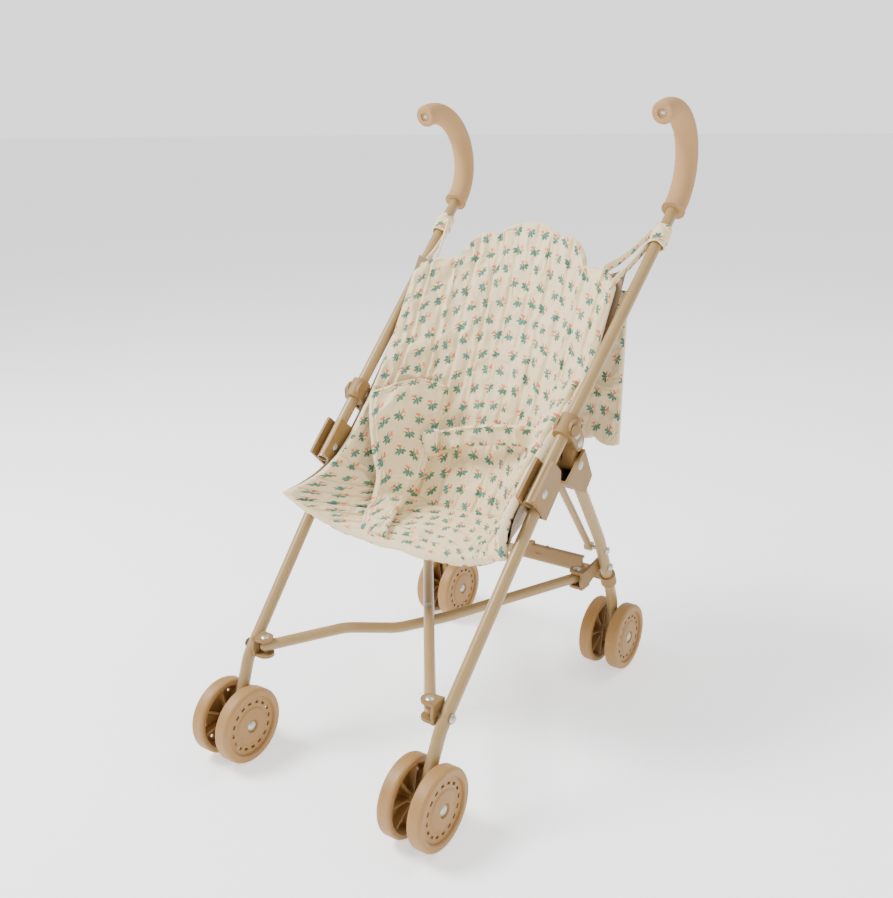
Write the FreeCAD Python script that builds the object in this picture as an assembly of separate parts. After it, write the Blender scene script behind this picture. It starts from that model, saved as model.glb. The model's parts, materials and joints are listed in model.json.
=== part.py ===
"""Folding umbrella stroller for dolls, modelled as an assembly of separate pieces.

Frame of reference: millimetres, +Z up, the stroller rolls forward along -Y, and its left
side is at +X.  The pieces are drawn with y = 0 midway between the axles; each is moved by
ORIGIN_SHIFT_Y when it is written, so that the finished origin is on the floor at the middle
of the box around the stroller.
Each side frame is drawn upright in the plane x = 0 and then leaned outward, so that the
handles stand wider apart than the wheels.  The right side is the mirror of the left.
"""
import FreeCAD
import Part
import math
import os

os.makedirs("parts", exist_ok=True)

V = FreeCAD.Vector

# ---------------------------------------------------------------- driving dimensions
ORIGIN_SHIFT_Y = -24.95
WHEEL_RADIUS = 34.0
WHEEL_WIDTH = 13.4
PAIR_WIDTH = 42.4            # outer face to outer face of a twin wheel pair
FRONT_AXLE_Y = -167.0
REAR_AXLE_Y = 167.0
AXLE_X = 103.2               # middle of a wheel pair from the middle of the stroller
AXLE_RADIUS = 2.5
AXLE_FIT = 0.05

TUBE_RADIUS = 5.5
TUBE_WALL = 0.9
GRIP_RADIUS = 10.6
LEAN_DEG = 2.87              # outward lean of a side frame
LEAN_FOOT_X = 100.5          # where the leaned plane meets the floor

HANDLE_FOOT = (-26.17, 239.2)      # y, z of the lower end of the handle tube
HANDLE_SLOPE = 1.092              # dy/dz of the handle tube
GRIP_START = (219.30, 463.99)      # y, z where the foam grip starts
GRIP_BEND_RADIUS = 49.6
GRIP_SWEEP_DEG = 155.4

LEG_SLOPE = 0.913
LEG_TOP = (5.5, 252.2)
LEG_BEND = (-145.0, 87.3)
FRONT_AXLE = (FRONT_AXLE_Y, WHEEL_RADIUS)

COLLAR_AT = (31.488, 292.0)
COLLAR_RADIUS = 9.3
COLLAR_LENGTH = 20.0
PIVOT = (43.0, 276.5)             # rear leg pivot under the collar
COLLAR_RIVET = (36.2, 286.2)

REAR_LEG_TOP = (56.5, 239.5)
REAR_LEG_POINTS = [(119.0, 156.0), (164.5, 71.0)]
REAR_AXLE = (REAR_AXLE_Y, WHEEL_RADIUS)
REAR_BOLT = (137.6, 121.2)

FRONT_PIN_Z = 98.0                # height of the cross brace pins at the front yokes
REAR_PIN_Z = 115.0                # and at the rear yokes
BRACE_MIDDLE_Z = (FRONT_PIN_Z + REAR_PIN_Z) / 2.0
BRACE_PIN_X = 90.0
FRONT_PIN_Y = -138.0
REAR_PIN_Y = 110.0
FRONT_BOLT = (-138.0, 95.2)
BAR_RADIUS = 5.0
BAR_DROP = 11.4                   # how far the lower bar passes under the upper one
BRACE_MIDDLE_Y = (FRONT_PIN_Y + REAR_PIN_Y) / 2.0

LOCK_Z = 104.0
LOCK_PIN_X = 86.0
LOCK_Y = 156.0

RIVET_RADIUS = 2.0
RIVET_HEAD_RADIUS = 4.2


# ---------------------------------------------------------------- helpers
def save(name, shape):
    """Write one node in the finished frame."""
    placed = shape.copy()
    placed.translate(V(0, ORIGIN_SHIFT_Y, 0))
    placed.exportStep("parts/" + name + ".step")


def group(shapes):
    """Separate solids of one kind that share a node."""
    return Part.makeCompound(shapes)


def plane_point(p, x=0.0):
    """Point of the side plane as a vector."""
    return V(x, p[0], p[1])


def toward(a, b, distance):
    """Point at a distance from a in the direction of b."""
    length = math.hypot(b[0] - a[0], b[1] - a[1])
    return (a[0] + (b[0] - a[0]) * distance / length, a[1] + (b[1] - a[1]) * distance / length)


def bent_wire(points, radius):
    """Wire of straight runs joined by arcs of one bend radius."""
    edges = []
    here = points[0]
    for i in range(1, len(points) - 1):
        into = (points[i] - points[i - 1]).normalize()
        out = (points[i + 1] - points[i]).normalize()
        turn = math.acos(max(-1.0, min(1.0, into.dot(out))))
        cut = radius * math.tan(turn / 2.0)
        start = points[i] - into * cut
        end = points[i] + out * cut
        middle = (out - into).normalize()
        inset = radius / math.cos(turn / 2.0) - radius
        edges.append(Part.makeLine(here, start))
        edges.append(Part.Arc(start, points[i] + middle * inset, end).toShape())
        here = end
    edges.append(Part.makeLine(here, points[-1]))
    return Part.Wire(edges)


def rod_along(wire, radius):
    """Solid round rod swept along a wire."""
    start = wire.Edges[0]
    tangent = start.tangentAt(start.FirstParameter)
    circle = Part.makeCircle(radius, start.valueAt(start.FirstParameter), tangent)
    return wire.makePipeShell([Part.Wire([circle])], True, False)


def tube_along(wire, radius, wall):
    """Open-ended tube swept along a wire."""
    return rod_along(wire, radius).cut(rod_along(wire, radius - wall))


def cross_pin(p, radius, x0, x1):
    """Cylinder across the side plane."""
    return Part.makeCylinder(radius, x1 - x0, plane_point(p, x0), V(1, 0, 0))


def cross_rivet(p, half_width, radius=RIVET_RADIUS, head=RIVET_HEAD_RADIUS, head_height=1.5):
    """Rivet across the side plane with a low domed head on both ends."""
    body = cross_pin(p, radius, -half_width, half_width)
    for side in (-1, 1):
        base = plane_point(p, side * half_width)
        body = body.fuse(low_dome(base, V(side, 0, 0), head, head_height))
    return body


def low_dome(base, direction, radius, height):
    """Low spherical cap standing on a base point."""
    ball = (radius * radius + height * height) / (2.0 * height)
    sphere = Part.makeSphere(ball, base + direction * (height - ball))
    keep = Part.makeCylinder(radius, height * 2.0, base, direction)
    return sphere.common(keep)


def plate(points, x0, x1):
    """Flat plate parallel to the side plane from a (y, z) outline."""
    outline = [plane_point(p, x0) for p in points]
    face = Part.Face(Part.makePolygon(outline + [outline[0]]))
    return face.extrude(V(x1 - x0, 0, 0))


def round_plate(p, q, radius_p, radius_q, x0, x1):
    """Plate with two round ends joined by straight flanks."""
    length = math.hypot(q[0] - p[0], q[1] - p[1])
    along = math.atan2(q[1] - p[1], q[0] - p[0])
    open_angle = math.acos((radius_p - radius_q) / length)
    corners = []
    for centre, radius, sign in ((p, radius_p, 1), (p, radius_p, -1), (q, radius_q, -1), (q, radius_q, 1)):
        angle = along + sign * open_angle
        corners.append((centre[0] + radius * math.cos(angle), centre[1] + radius * math.sin(angle)))
    body = plate(corners, x0, x1)
    return body.fuse([cross_pin(p, radius_p, x0, x1), cross_pin(q, radius_q, x0, x1)]).removeSplitter()


def block(x0, x1, y0, y1, z0, z1):
    """Box from its limits."""
    return Part.makeBox(x1 - x0, y1 - y0, z1 - z0, V(x0, y0, z0))


def leaned(shape):
    """Lean an upright side-plane shape outward and move it to the left side."""
    shape = shape.copy()
    shape.rotate(V(0, 0, 0), V(0, 1, 0), LEAN_DEG)
    shape.translate(V(LEAN_FOOT_X, 0, 0))
    return shape


def mirrored(shape):
    """The same piece on the other side of the stroller."""
    return shape.mirror(V(0, 0, 0), V(1, 0, 0))


def both_sides(name, shape):
    """Write a left piece and its mirror image."""
    save(name + "_left", shape)
    save(name + "_right", mirrored(shape))


def handle_axis(z):
    """y of the handle tube axis at a height."""
    return HANDLE_FOOT[0] + HANDLE_SLOPE * (z - HANDLE_FOOT[1])


# unit vectors in the side plane: along the handle tube, and rearward across it
HANDLE_LENGTH = math.hypot(HANDLE_SLOPE, 1.0)
ALONG = (HANDLE_SLOPE / HANDLE_LENGTH, 1.0 / HANDLE_LENGTH)
ACROSS = (ALONG[1], -ALONG[0])
JOINT_AT = (handle_axis(250.0), 250.0)


def near_handle(s, t):
    """Side-plane point at s along and t behind the handle axis, from the leg joint."""
    return (JOINT_AT[0] + s * ALONG[0] + t * ACROSS[0], JOINT_AT[1] + s * ALONG[1] + t * ACROSS[1])


# ---------------------------------------------------------------- side frame
def grip_point(share):
    """Point of the grip's arc and the direction of the arc there."""
    start_angle = math.atan2(ALONG[1], ALONG[0])
    angle = start_angle + math.radians(GRIP_SWEEP_DEG) * share
    y = GRIP_START[0] + GRIP_BEND_RADIUS * (math.sin(angle) - math.sin(start_angle))
    z = GRIP_START[1] + GRIP_BEND_RADIUS * (math.cos(start_angle) - math.cos(angle))
    return V(0, y, z), V(0, math.cos(angle), math.sin(angle))


def make_handle():
    """Handle tube with its cane end, the foam grip over it and the end screw."""
    start, start_way = grip_point(0.0)
    middle = grip_point(0.5)[0]
    end, end_way = grip_point(1.0)
    arc = Part.Arc(start, middle, end).toShape()
    straight = Part.makeLine(plane_point(HANDLE_FOOT), start)
    tube = tube_along(Part.Wire([straight, arc]), TUBE_RADIUS, TUBE_WALL)
    tip = Part.makeLine(end, end + end_way * 3.6)
    tail = Part.makeLine(start - start_way * 4.0, start)
    grip = rod_along(Part.Wire([tail, arc, tip]), GRIP_RADIUS)
    rim = [e for e in grip.Edges if e.Length > 50.0 and (e.CenterOfMass - end).Length < 8.0
           and (e.CenterOfMass - end).dot(end_way) > 3.0]
    grip = grip.makeFillet(2.6, rim)
    grip = grip.fuse(Part.makeCylinder(GRIP_RADIUS + 0.8, 2.6, start - start_way * 5.6, start_way))
    grip = grip.cut(rod_along(Part.Wire([Part.makeLine(start - start_way * 9.0, start), arc]), TUBE_RADIUS))
    grip = grip.cut(Part.makeCylinder(4.6, 2.0, end + end_way * 2.2, end_way))
    grip = grip.cut(Part.makeCylinder(1.6, 6.0, end - end_way * 1.0, end_way))
    screw = Part.makeCylinder(1.6, 4.4, end - end_way * 2.2, end_way)
    screw = screw.fuse(low_dome(end + end_way * 2.2, end_way, 2.5, 0.9))
    return tube, grip, screw


def make_collar():
    """Collar round the handle tube with a fork lug for the rear leg."""
    lower = toward(COLLAR_AT, HANDLE_FOOT, COLLAR_LENGTH / 2.0)
    way = V(0, ALONG[0], ALONG[1])
    ring = Part.makeCylinder(COLLAR_RADIUS, COLLAR_LENGTH, plane_point(lower), way)
    cheek = round_plate(COLLAR_AT, PIVOT, 9.0, 7.2, 5.4, 8.2)
    inner_cheek = round_plate(COLLAR_AT, PIVOT, 9.0, 7.2, -8.2, -5.4)
    boss = Part.makeCylinder(5.2, 11.6, plane_point(COLLAR_AT), V(1, -0.35, 0))
    web = round_plate(COLLAR_AT, COLLAR_RIVET, 8.0, 5.0, -8.0, 8.0)
    collar = ring.fuse([cheek, inner_cheek, boss, web])
    far = toward(COLLAR_AT, HANDLE_FOOT, 40.0)
    collar = collar.cut(Part.makeCylinder(TUBE_RADIUS, 80.0, plane_point(far), way))
    for p in (COLLAR_RIVET, PIVOT):
        collar = collar.cut(cross_pin(p, RIVET_RADIUS, -12.0, 12.0))
    return collar


def make_front_leg():
    """Front leg tube, bent forward at its foot."""
    foot = toward(FRONT_AXLE, LEG_BEND, -6.0)
    wire = bent_wire([plane_point(LEG_TOP), plane_point(LEG_BEND), plane_point(foot)], 40.0)
    return tube_along(wire, TUBE_RADIUS, TUBE_WALL)


LEG_ALONG = (LEG_SLOPE / math.hypot(LEG_SLOPE, 1.0), 1.0 / math.hypot(LEG_SLOPE, 1.0))
LEG_ACROSS = (LEG_ALONG[1], -LEG_ALONG[0])


def near_leg(s, t):
    """Side-plane point at s down-leg positive upward and t behind the front leg axis."""
    return (LEG_TOP[0] + s * LEG_ALONG[0] + t * LEG_ACROSS[0],
            LEG_TOP[1] + s * LEG_ALONG[1] + t * LEG_ACROSS[1])


def make_leg_joint():
    """Channel bracket, open to the front, that holds the handle tube and the leg top."""
    outline = [near_handle(-16.5, -11.0), near_handle(23.0, -11.0), near_handle(25.0, 8.0),
               near_leg(-1.0, 8.4), near_leg(-33.0, 8.4)]
    inner = [near_handle(-30.0, -14.0), near_handle(34.0, -14.0), near_handle(34.0, 8.0),
             near_leg(16.0, 5.8), near_leg(-50.0, 5.8)]
    body = plate(outline, -9.0, 9.0).cut(plate(inner, -6.1, 6.1))
    body = body.cut(cross_pin(near_handle(-3.0, 0.0), RIVET_RADIUS, -12.0, 12.0))
    rivet_at = near_leg(-20.0, 0.0)
    back = V(0, LEG_ACROSS[0], LEG_ACROSS[1])
    body = body.cut(Part.makeCylinder(RIVET_RADIUS, 20.0, plane_point(rivet_at), back))
    return body


def make_frame_rivets():
    """Rivets of one side frame, with the bolt that carries the front yoke."""
    collar_rivet = cross_rivet(COLLAR_RIVET, 8.25)
    pivot_rivet = cross_rivet(PIVOT, 8.25)
    handle_rivet = cross_rivet(near_handle(-3.0, 0.0), 9.05)
    back = V(0, LEG_ACROSS[0], LEG_ACROSS[1])
    base = plane_point(near_leg(-20.0, -4.4))
    leg_rivet = Part.makeCylinder(RIVET_RADIUS, 12.85, base, back)
    leg_rivet = leg_rivet.fuse(low_dome(plane_point(near_leg(-20.0, 8.45)), back, 4.6, 2.4))
    return [collar_rivet, pivot_rivet, handle_rivet, leg_rivet]


def front_yoke_bolt():
    """Bolt across the front leg, horizontal, in place on the left side."""
    leg_x = LEAN_FOOT_X + math.sin(math.radians(LEAN_DEG)) * FRONT_BOLT[1]
    shank = Part.makeCylinder(2.0, leg_x + 6.1 - 95.2, V(95.2, FRONT_BOLT[0], FRONT_BOLT[1]), V(1, 0, 0))
    outer = low_dome(V(leg_x + 6.1, FRONT_BOLT[0], FRONT_BOLT[1]), V(1, 0, 0), 4.4, 2.8)
    inner = Part.makeCylinder(3.1, 1.0, V(95.15, FRONT_BOLT[0], FRONT_BOLT[1]), V(1, 0, 0))
    return shank.fuse([outer, inner])


def cut_for(shape, tools):
    """Cut fasteners out of the piece that they pass through."""
    for tool in tools:
        shape = shape.cut(tool)
    return shape


# ---------------------------------------------------------------- rear leg
REAR_WAY = V(0, REAR_LEG_POINTS[0][0] - REAR_LEG_TOP[0], REAR_LEG_POINTS[0][1] - REAR_LEG_TOP[1])
REAR_WAY.normalize()
KNUCKLE_LOW = (43.5, 256.5)
STAY_X = -14.2
STAY_RADIUS = 3.4
STAY_TOP = (40.0, 246.0)
STAY_FOOT = (126.6, 143.0)


def make_rear_leg():
    """Rear leg tube with a soft bend and a nearly upright foot."""
    foot = (REAR_AXLE[0] + 0.4, REAR_AXLE[1] - 6.0)
    points = [plane_point(p) for p in [REAR_LEG_TOP] + REAR_LEG_POINTS + [foot]]
    return tube_along(bent_wire(points, 45.0), TUBE_RADIUS, TUBE_WALL)


def make_rear_bracket():
    """Triangular channel, open to the front and top, that caps the rear leg."""
    outline = [(49.5, 269.8), (19.0, 246.0), (57.5, 226.5), (68.5, 240.0)]
    inner = [(46.5, 272.0), (42.0, 290.0), (0.0, 256.0), (16.0, 250.4), (57.0, 229.6), (65.2, 240.0)]
    body = plate(outline, -10.2, 10.2).cut(plate(inner, -7.6, 7.6))
    start = plane_point(REAR_LEG_TOP) - REAR_WAY * 5.0
    body = body.cut(Part.makeCylinder(TUBE_RADIUS, 60.0, start, REAR_WAY))
    body = body.cut(round_plate(PIVOT, KNUCKLE_LOW, 6.2, 6.6, -5.4, 5.4))
    return body.cut(Part.makeCylinder(8.6, 30.0, plane_point(PIVOT, -15.0), V(1, 0, 0)))


def make_knuckle():
    """Link that hangs in the collar fork and is riveted in the rear bracket."""
    body = round_plate(PIVOT, KNUCKLE_LOW, 6.0, 6.4, -5.1, 5.1)
    body = body.fuse(cross_pin(KNUCKLE_LOW, 6.4, -7.5, 7.5))
    body = body.cut(cross_pin(PIVOT, RIVET_RADIUS + AXLE_FIT, -12.0, 12.0))
    leg_space = Part.makeCylinder(TUBE_RADIUS + 0.1, 30.0, plane_point(REAR_LEG_TOP), REAR_WAY)
    return body.cut(leg_space)


def make_stay():
    """Straight stay on the inner side of the rear leg, with round eyes at both ends."""
    top = plane_point(STAY_TOP, STAY_X)
    low = plane_point(STAY_FOOT, STAY_X)
    way = low - top
    body = Part.makeCylinder(STAY_RADIUS, way.Length, top, way)
    for p in (STAY_TOP, STAY_FOOT):
        body = body.fuse(cross_pin(p, 4.6, STAY_X - STAY_RADIUS, STAY_X + STAY_RADIUS))
    return body


def make_rear_rivets():
    """Rivets of the rear leg, in the side plane."""
    bracket_rivet = cross_rivet(KNUCKLE_LOW, 10.25, head_height=1.2)
    span = -STAY_X + STAY_RADIUS + 0.05
    shank = cross_pin(STAY_TOP, RIVET_RADIUS, -span, -7.7)
    stay_top = shank.fuse(low_dome(plane_point(STAY_TOP, -span), V(-1, 0, 0), 4.0, 1.5))
    shank = cross_pin(STAY_FOOT, RIVET_RADIUS, -span, 5.9)
    stay_foot = shank.fuse(low_dome(plane_point(STAY_FOOT, -span), V(-1, 0, 0), 4.0, 1.5))
    stay_foot = stay_foot.fuse(low_dome(plane_point(STAY_FOOT, 5.7), V(1, 0, 0), 4.2, 2.2))
    shank = cross_pin(REAR_BOLT, RIVET_RADIUS, -4.9, 5.9)
    yoke_bolt = shank.fuse(low_dome(plane_point(REAR_BOLT, 5.7), V(1, 0, 0), 4.2, 2.6))
    return [bracket_rivet, stay_top, stay_foot, yoke_bolt]


LOCK_CLAMP_Z = 104.0
LOCK_CLAMP_Y = 147.4


def make_lock_bracket():
    """Clip round the rear leg with a tab that carries one lock arm."""
    way = V(0, REAR_LEG_POINTS[1][0] - REAR_LEG_POINTS[0][0], REAR_LEG_POINTS[1][1] - REAR_LEG_POINTS[0][1])
    way.normalize()
    middle = V(0, LOCK_CLAMP_Y, LOCK_CLAMP_Z)
    ring = Part.makeCylinder(TUBE_RADIUS + 2.4, 13.0, middle - way * 6.5, way)
    foot = (REAR_AXLE[0] + 0.4, REAR_AXLE[1] - 6.0)
    leg_points = [plane_point(p) for p in [REAR_LEG_TOP] + REAR_LEG_POINTS + [foot]]
    tab = block(-20.0 - 6.0, -3.0, 151.0, 154.0, LOCK_CLAMP_Z - 6.5, LOCK_CLAMP_Z + 6.5)
    tab = tab.cut(Part.makeBox(8, 9, 2, V(-26, 150, LOCK_CLAMP_Z + 5.5)))
    return ring.fuse(tab).cut(rod_along(bent_wire(leg_points, 45.0), TUBE_RADIUS))


# ---------------------------------------------------------------- wheels and axles
WINDOW_COUNT = 16


def make_wheel():
    """One wheel on the X axis: closed outer face at +X, ribbed hollow inner side at -X."""
    r = WHEEL_RADIUS
    w = WHEEL_WIDTH
    outline = [(0.0, r - 2.2), (0.7, r - 0.8), (2.2, r), (w - 2.4, r), (w - 0.8, r - 0.8), (w, r - 2.4),
               (w, r - 6.4), (w - 0.9, r - 7.2), (w - 2.4, r - 7.6), (w - 2.4, 17.4), (w - 1.4, 15.6),
               (w - 0.6, 8.0), (w - 0.6, 6.4), (w - 2.2, 5.6), (w - 2.2, AXLE_RADIUS + AXLE_FIT),
               (-0.7, AXLE_RADIUS + AXLE_FIT), (-0.7, 5.6), (w - 5.0, 6.2), (w - 5.0, r - 9.6),
               (1.0, r - 5.4), (0.0, r - 4.6)]
    points = [V(x, 0, z) for x, z in outline]
    face = Part.Face(Part.makePolygon(points + [points[0]]))
    wheel = face.revolve(V(0, 0, 0), V(1, 0, 0), 360.0)
    ribs = []
    for i in range(8):
        rib = block(1.6, w - 4.0, -0.8, 0.8, 5.8, r - 7.0)
        rib.rotate(V(0, 0, 0), V(1, 0, 0), 45.0 * i + 11.25)
        ribs.append(rib)
    wheel = wheel.fuse(ribs)
    for i in range(WINDOW_COUNT):
        window = block(-1.0, w + 1.0, -2.0, 2.0, 20.2, 22.6)
        window.rotate(V(0, 0, 0), V(1, 0, 0), 360.0 / WINDOW_COUNT * i)
        wheel = wheel.cut(window)
    return wheel


def place_wheels():
    """Write the eight wheels, two on each axle."""
    for end, y in (("front", FRONT_AXLE_Y), ("rear", REAR_AXLE_Y)):
        outer = make_wheel()
        outer.translate(V(AXLE_X + PAIR_WIDTH / 2.0 - WHEEL_WIDTH, y, WHEEL_RADIUS))
        inner = make_wheel()
        inner.rotate(V(0, 0, 0), V(0, 0, 1), 180.0)
        inner.translate(V(AXLE_X - PAIR_WIDTH / 2.0 + WHEEL_WIDTH, y, WHEEL_RADIUS))
        both_sides("wheel_" + end + "_outer", outer)
        both_sides("wheel_" + end + "_inner", inner)


def make_axle(y):
    """Fixed axle through the foot of a leg, with a low cap outside each wheel."""
    half = PAIR_WIDTH / 2.0 - 1.9
    body = Part.makeCylinder(AXLE_RADIUS, 2.0 * half, V(AXLE_X - half, y, WHEEL_RADIUS), V(1, 0, 0))
    for side in (-1, 1):
        base = V(AXLE_X + side * half, y, WHEEL_RADIUS)
        body = body.fuse(low_dome(base, V(side, 0, 0), 4.6, 1.7))
    return body


# ---------------------------------------------------------------- cross brace
def make_yoke(pin, bolt, plate_x, ear_radius, hole_radius):
    """Fork of the left side that holds a brace bar end between two flanges."""
    x, y, z_pin = pin
    low = z_pin - 9.0
    high = z_pin + 9.0
    ears = round_plate((y, z_pin), bolt, 9.0, ear_radius, plate_x, plate_x + 2.8)
    body = ears.fuse(block(plate_x, plate_x + 2.8, y - 8.0, y + 8.0, low, high))
    for z in (low, high - 2.8):
        flange = Part.makeCylinder(7.5, 2.8, V(x, y, z))
        arm = block(x, plate_x + 1.0, y - 7.5, y + 7.5, z, z + 2.8)
        body = body.fuse([flange, arm])
    body = body.cut(Part.makeCylinder(1.8, 40.0, V(x, y, low - 10.0)))
    if hole_radius > 0.0:
        hole = Part.makeCylinder(hole_radius, 20.0, V(plate_x - 8.0, bolt[0], bolt[1]), V(1, 0, 0))
        body = body.cut(hole)
    return body


def brace_pin(x, y, z):
    """Upright rivet through a yoke and a bar end."""
    half = 9.0 + AXLE_FIT
    body = Part.makeCylinder(1.8, 2.0 * half, V(x, y, z - half))
    top = low_dome(V(x, y, z + half), V(0, 0, 1), 4.0, 1.4)
    bottom = low_dome(V(x, y, z - half), V(0, 0, -1), 4.0, 1.4)
    return body.fuse([top, bottom])


def make_bar(front_x, drop):
    """Brace bar between a front yoke on one side and a rear yoke on the other."""
    front = V(front_x, FRONT_PIN_Y, FRONT_PIN_Z)
    rear = V(-front_x, REAR_PIN_Y, REAR_PIN_Z)
    if drop > 0.0:
        down = V(0, 0, -drop)
        run = rear - front
        points = [front, front + run * 0.24 + V(0, 0, 0.8), front + run * 0.40 + down]
        points += [front + run * 0.56 + down, rear]
        wire = bent_wire(points, 60.0)
    else:
        wire = Part.Wire([Part.makeLine(front, rear)])
    bar = rod_along(wire, BAR_RADIUS)
    bar = bar.fuse([Part.makeSphere(BAR_RADIUS, front), Part.makeSphere(BAR_RADIUS, rear)])
    return bar


def make_brace():
    """Both bars with their rivets."""
    upper = make_bar(BRACE_PIN_X, 0.0)
    lower = make_bar(-BRACE_PIN_X, BAR_DROP)
    front_pins = [brace_pin(x, FRONT_PIN_Y, FRONT_PIN_Z) for x in (BRACE_PIN_X, -BRACE_PIN_X)]
    rear_pins = [brace_pin(x, REAR_PIN_Y, REAR_PIN_Z) for x in (-BRACE_PIN_X, BRACE_PIN_X)]
    upper_pins = [front_pins[0], rear_pins[0]]
    lower_pins = [front_pins[1], rear_pins[1]]
    low = BRACE_MIDDLE_Z - BAR_DROP - BAR_RADIUS - 0.35
    high = BRACE_MIDDLE_Z + BAR_RADIUS + 0.2
    middle = Part.makeCylinder(1.8, high - low, V(0, BRACE_MIDDLE_Y, low))
    middle = middle.fuse(low_dome(V(0, BRACE_MIDDLE_Y, high), V(0, 0, 1), 4.0, 1.4))
    middle = middle.fuse(low_dome(V(0, BRACE_MIDDLE_Y, low), V(0, 0, -1), 4.0, 1.4))
    upper = cut_for(upper, upper_pins + [middle])
    hole = Part.makeCylinder(1.8 + AXLE_FIT, 60.0, V(0, BRACE_MIDDLE_Y, 60.0))
    lower = cut_for(lower, lower_pins).cut(hole)
    save("brace_bar_upper", upper)
    save("brace_bar_lower", lower)
    save("brace_rivets_upper", group(upper_pins + [middle]))
    save("brace_rivets_lower", group(lower_pins))


def make_yokes():
    """Front and rear yokes of both sides; the pins turn freely in their flanges."""
    front = make_yoke((BRACE_PIN_X, FRONT_PIN_Y, FRONT_PIN_Z), FRONT_BOLT, 96.2, 7.0, 2.0 + AXLE_FIT)
    rear = make_yoke((BRACE_PIN_X, REAR_PIN_Y, REAR_PIN_Z), REAR_BOLT, 97.2, 6.2, 0.0)
    for name, yoke, y in (("front_yoke", front, FRONT_PIN_Y), ("rear_yoke", rear, REAR_PIN_Y)):
        yoke = yoke.cut(Part.makeCylinder(1.8 + AXLE_FIT, 60.0, V(BRACE_PIN_X, y, 80.0)))
        both_sides(name, yoke)


# ---------------------------------------------------------------- folding lock
def lock_arm_plate(side, y0, y1, height):
    """Flat arm from an outer pin to the middle, with round ends."""
    half = height / 2.0
    body = block(0.0, LOCK_PIN_X, y0, y1, LOCK_Z - half, LOCK_Z + half)
    for x in (0.0, LOCK_PIN_X):
        body = body.fuse(Part.makeCylinder(half, y1 - y0, V(x, y0, LOCK_Z), V(0, 1, 0)))
    if side < 0:
        body = mirrored(body)
    return body


def y_rivet(x, y0, y1, head):
    """Rivet along Y at lock height, with a dome at one or both ends."""
    body = Part.makeCylinder(RIVET_RADIUS, y1 - y0, V(x, y0, LOCK_Z), V(0, 1, 0))
    if head <= 0:
        body = body.fuse(low_dome(V(x, y0, LOCK_Z), V(0, -1, 0), 4.0, 1.6))
    if head >= 0:
        body = body.fuse(low_dome(V(x, y1, LOCK_Z), V(0, 1, 0), 4.0, 1.6))
    return body


def make_lock():
    """Two arms that lap in the middle, a moulded foot cover on the left one, and rivets."""
    near = (154.4, 157.2)
    far = (157.5, 160.3)
    left = lock_arm_plate(1, near[0], near[1], 10.0)
    right = lock_arm_plate(-1, far[0], far[1], 10.0)
    left_pin = y_rivet(LOCK_PIN_X, 150.9, 157.25, 0)
    right_pin = y_rivet(-LOCK_PIN_X, 150.9, 160.35, 0)
    middle = y_rivet(0.0, near[0] - 0.05, near[1], -1)
    cover = block(6.0, 74.0, 151.2, 154.1, LOCK_Z - 1.0, LOCK_Z + 13.0)
    cover = cover.fuse(block(6.0, 74.0, 151.2, 157.3, LOCK_Z + 10.6, LOCK_Z + 13.0))
    cover = cover.cut(Part.makeCylinder(3.0, 20.0, V(4.5, 148.0, LOCK_Z + 13.4), V(0, 1, 0)))
    knob = Part.makeCylinder(3.5, 3.6, V(14.0, 153.6, LOCK_Z + 12.6))
    bump = Part.makeSphere(3.2, V(32.0, 153.9, LOCK_Z + 12.0))
    bump = bump.common(block(20.0, 45.0, 150.0, 162.0, LOCK_Z + 12.0, LOCK_Z + 20.0))
    cover = cover.fuse([knob, bump])
    mark = block(20.0, 27.0, 150.9, 151.8, LOCK_Z + 4.6, LOCK_Z + 6.0)
    cover = cover.cut(mark)
    left = left.cut(Part.makeCylinder(RIVET_RADIUS + AXLE_FIT, 20.0, V(LOCK_PIN_X, 148.0, LOCK_Z), V(0, 1, 0)))
    right = right.cut(Part.makeCylinder(RIVET_RADIUS + AXLE_FIT, 20.0, V(-LOCK_PIN_X, 148.0, LOCK_Z), V(0, 1, 0)))
    left = left.cut(middle)
    save("lock_arm_left", left)
    save("lock_arm_right", right)
    save("lock_cover", cover)
    save("lock_middle_rivet", middle)
    return left_pin, right_pin


# ---------------------------------------------------------------- soft parts
def slab(outline, x0, x1):
    """Soft panel from a side outline."""
    return plate(outline, x0, x1)


def thick_line(a, b, thickness):
    """Outline of a straight panel seen edge-on."""
    length = math.hypot(b[0] - a[0], b[1] - a[1])
    n = (-(b[1] - a[1]) / length * thickness, (b[0] - a[0]) / length * thickness)
    return [a, b, (b[0] + n[0], b[1] + n[1]), (a[0] + n[0], a[1] + n[1])]


def make_soft_parts():
    """Simple closed solids for the quilted cover, its sling, flap, belt and ties."""
    save("seat_back_pad", slab(thick_line((58.0, 188.0), (174.0, 440.0), 9.0), -93.0, 93.0))
    save("seat_base_pad", slab([(-74.0, 186.0), (48.0, 178.0), (48.5, 187.0), (-73.5, 195.0)], -93.0, 93.0))
    save("seat_sling", slab([(-62.0, 180.5), (57.5, 172.5), (178.0, 432.0), (175.5, 433.5),
                             (56.0, 175.5), (-62.0, 183.5)], -90.0, 90.0))
    side = slab([(-72.0, 196.0), (28.0, 191.0), (30.0, 252.0), (64.0, 284.0), (122.0, 352.0),
                 (84.0, 338.0), (-24.0, 236.0)], 94.0, 99.0)
    both_sides("side_wing", side)
    harness = slab([(-60.0, 197.0), (-30.0, 197.0), (14.0, 268.0), (40.0, 300.0), (8.0, 300.0), (-14.0, 268.0)],
                   86.0, 92.5)
    both_sides("harness_panel", harness)
    save("back_flap", block(-110.0, 110.0, 155.0, 159.0, 243.0, 380.0))
    save("waist_belt", block(-85.0, 85.0, 44.0, 48.0, 254.0, 276.0))


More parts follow.
